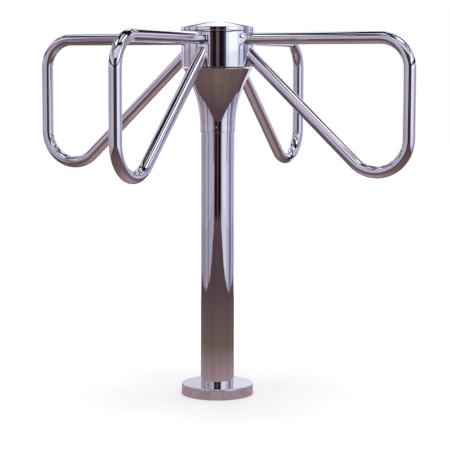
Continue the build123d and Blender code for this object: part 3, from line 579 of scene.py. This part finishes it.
# cards overhead, glowing and seen only in reflections: bright ones are painted highlight strips, near-black ones
# painted dark stripes; azimuth right of the camera, distance out, height, width, length, level
cards = [
    (-60, 1.0, 2.3, 0.42, 1.6, 1.7), (60, 1.05, 2.3, 0.46, 1.6, 1.8), (150, 1.0, 2.4, 0.36, 1.5, 1.6),
    (-150, 1.05, 2.4, 0.34, 1.3, 1.5), (180, 0.16, 2.1, 0.60, 3.2, 0.008), (90, 0.34, 2.13, 0.36, 2.4, 0.008),
    (-90, 0.46, 2.13, 0.36, 2.4, 0.008), (0, 0.95, 2.05, 0.28, 2.6, 0.010), (180, 1.2, 1.95, 0.26, 2.2, 0.010),
]


def glow(name, colour, strength=1.0):
    material = bpy.data.materials.new(name)
    material.use_nodes = True
    tree = material.node_tree
    tree.nodes.clear()
    light = tree.nodes.new("ShaderNodeEmission")
    light.inputs["Color"].default_value = (*colour, 1)
    light.inputs["Strength"].default_value = strength
    end = tree.nodes.new("ShaderNodeOutputMaterial")
    tree.links.new(light.outputs[0], end.inputs[0])
    return material


def onlyReflected(thing):
    thing.visible_camera = False
    thing.visible_diffuse = False
    thing.visible_shadow = False
    thing.visible_transmission = False


def stageMesh(name, vertices, faces, materials, indices=None):
    mesh = bpy.data.meshes.new(name)
    mesh.from_pydata(vertices, [], faces)
    for material in materials:
        mesh.materials.append(material)
    for face, index in zip(mesh.polygons, indices or []):
        face.material_index = index
    thing = bpy.data.objects.new(name, mesh)
    bpy.context.collection.objects.link(thing)
    return thing


def disc(name, radius, height, material, steps=96):
    ring = [(radius * cos(2 * pi * i / steps), radius * sin(2 * pi * i / steps), height) for i in range(steps)]
    return stageMesh(name, ring, [list(range(steps))], [material])


def aroundPost(azimuth, distance, z):
    a = radians(-90 + cameraAzimuth + azimuth)
    return (distance * cos(a), distance * sin(a), z)


def wallDistance(azimuth):
    # the studio is a box about the post: two sides, a front behind the camera and a back
    a = radians(azimuth)
    ahead = studio["front"] / cos(a) if cos(a) > 0 else studio["back"] / max(-cos(a), 1e-6)
    return min(ahead, studio["side"] / max(abs(sin(a)), 1e-6))


def makeWalls():
    # glowing wall panels seen only in reflections, a painted reflection of a lit room: each panel's colour is
    # scaled by its height band's painted light gain
    levels, paintedLightGains = studio["levels"], studio["paintedLightGains"]
    vertices, faces, indices, materials = [], [], [], []
    start = -180
    for number, (end, colour) in enumerate(panels):
        for level, gain in enumerate(paintedLightGains):
            materials.append(glow(f"panel{number}_{level}", [c * gain for c in colour]))
        steps = max(2, int((end - start) / studio["wedge"]))
        for i in range(steps):
            for level in range(len(paintedLightGains)):
                base = len(vertices)
                for part, z in ((i, levels[level]), (i + 1, levels[level]),
                                (i + 1, levels[level + 1]), (i, levels[level + 1])):
                    azimuth = start + (end - start) * part / steps
                    vertices.append(aroundPost(azimuth, wallDistance(azimuth), z))
                faces.append((base, base + 1, base + 2, base + 3))
                indices.append(number * len(paintedLightGains) + level)
        start = end
    onlyReflected(stageMesh("paintedReflectionWall", vertices, faces, materials, indices))


def makePaintedFloorReflection():
    # a painted reflection of a floor: a glowing disc seen only in reflections, painted lighter by the base, browner
    # farther out, with soft streaks
    paint = Shader("paintedFloorReflectionGlow", Base_Color=grey(0), Roughness=1.0, Specular_IOR_Level=0.0, Emission_Strength=1.0)
    where = paint.node("ShaderNodeNewGeometry", out=0)
    away = paint.node("ShaderNodeVectorMath", {"operation": "LENGTH"}, {0: where}, out=1)
    shade = paint.ramp(away * (1 / studio["front"]), [
        (0.0, studio["floorNear"]), (0.05, studio["floorNear"]), (0.16, studio["floorMiddle"]),
        (0.42, studio["floorFar"]), (1.0, studio["floorFar"]),
    ])
    direction = paint.node("ShaderNodeVectorMath", {"operation": "NORMALIZE"}, {0: where})
    streak = paint.node("ShaderNodeTexNoise", {"noise_dimensions": "3D"},
                        {"Vector": direction, "Scale": 2.6, "Detail": 2.0, "Roughness": 0.55})
    tint = paint.ramp(streak, [(0.34, grey(0.82)), (0.52, grey(1.0)), (0.70, grey(1.12))])
    colour = paint.node("ShaderNodeVectorMath", {"operation": "MULTIPLY"}, {0: shade, 1: tint})
    paint.feed("Emission Color", colour)
    onlyReflected(disc("paintedFloorReflectionDisc", studio["front"] * 1.1, -0.002, paint.material))


def makeCards():
    ceiling = glow("studioCeilingGlow", studio["ceiling"])
    onlyReflected(disc("studioCeiling", studio["front"] * 1.1, studio["height"], ceiling))
    # each card glows with its level: painted highlights and painted dark stripes in the chrome
    for number, (azimuth, distance, height, width, length, level) in enumerate(cards):
        x, y, z = aroundPost(azimuth, distance, height)
        a = radians(-90 + cameraAzimuth + azimuth)
        corners = []
        for across, along in ((-1, -1), (1, -1), (1, 1), (-1, 1)):
            u, v = across * width / 2, along * length / 2
            corners.append((x + u * cos(a) - v * sin(a), y + u * sin(a) + v * cos(a), z))
        colour = (level * 0.97, level * 0.98, level)
        onlyReflected(stageMesh(f"card{number}", corners, [(0, 1, 2, 3)], [glow(f"paintedReflectionCard{number}", colour)]))


def makeFloor():
    paint = Shader("floorPaint")
    fade = paint.noise(3.0, 3.0)
    paint.feed("Base Color", paint.blend(fade, (0.93, 0.93, 0.93, 1), (0.92, 0.92, 0.92, 1)))
    paint.feed("Roughness", 0.9)
    ground = disc("floor", 14.0, 0.0, paint.material)
    ground.visible_glossy = False
    # the white backdrop is seen, but lights nothing
    bm = bmesh.new()
    bmesh.ops.create_uvsphere(bm, u_segments=48, v_segments=24, radius=16.0)
    mesh = bpy.data.meshes.new("backdrop")
    bm.to_mesh(mesh)
    bm.free()
    mesh.materials.append(glow("backdropWhite", (1, 1, 1)))
    backdrop = bpy.data.objects.new("backdrop", mesh)
    bpy.context.collection.objects.link(backdrop)
    backdrop.visible_glossy = False
    backdrop.visible_diffuse = False
    backdrop.visible_shadow = False
    backdrop.visible_transmission = False


makeWalls()
makePaintedFloorReflection()
makeCards()
makeFloor()

world = bpy.data.worlds.new("whiteRoom")
bpy.context.scene.world = world
world.use_nodes = True
world.node_tree.nodes["Background"].inputs["Color"].default_value = (1, 1, 1, 1)
world.node_tree.nodes["Background"].inputs["Strength"].default_value = 0.40

lamps = [
    # name, place, size, power
    ("keyLamp", (-0.9, -1.5, 3.4), 1.9, 3.0),
    ("fillLamp", (2.6, -1.4, 2.8), 2.0, 2.0),
]
sun = {"energy": 2.42, "spread": 40.0}


def makeLamps():
    for name, place, size, power in lamps:
        light = bpy.data.lights.new(name, "AREA")
        light.shape = "DISK"
        light.size = size
        light.energy = power
        lamp = bpy.data.objects.new(name, light)
        lamp.location = place
        lamp.rotation_euler = (Vector((0, 0, 0.3)) - Vector(place)).to_track_quat("-Z", "Y").to_euler()
        lamp.visible_glossy = False
        bpy.context.collection.objects.link(lamp)
    light = bpy.data.lights.new("overheadLight", "SUN")
    light.energy = sun["energy"]
    light.angle = radians(sun["spread"])
    lamp = bpy.data.objects.new("overheadLight", light)
    lamp.location = (0, 0, 4)
    lamp.visible_glossy = False
    bpy.context.collection.objects.link(lamp)


makeLamps()

# ---- camera

lens = {"distance": 3.9238, "height": 0.8702, "yaw": 0.289, "pitch": 6.015, "roll": 0.131, "focal": 117.97}


def makeCamera():
    data = bpy.data.cameras.new("camera")
    data.sensor_width = 36.0
    data.lens = lens["focal"]
    data.clip_end = 100
    turn = Matrix.Rotation(radians(cameraAzimuth), 3, "Z")
    yaw, pitch, roll = radians(lens["yaw"]), radians(lens["pitch"]), radians(lens["roll"])
    forward = turn @ Vector((sin(yaw) * cos(pitch), cos(yaw) * cos(pitch), -sin(pitch)))
    right = turn @ Vector((cos(yaw), -sin(yaw), 0))
    up = right.cross(forward)
    rolledRight = cos(roll) * right + sin(roll) * up
    rolledUp = cos(roll) * up - sin(roll) * right
    place = turn @ Vector((0, -lens["distance"], lens["height"]))
    camera = bpy.data.objects.new("camera", data)
    axes = Matrix((rolledRight, rolledUp, -forward)).transposed()
    camera.matrix_world = Matrix.Translation(place) @ axes.to_4x4()
    bpy.context.collection.objects.link(camera)
    bpy.context.scene.camera = camera


makeCamera()
bpy.context.scene.view_settings.view_transform = "Standard"
print("studio done")
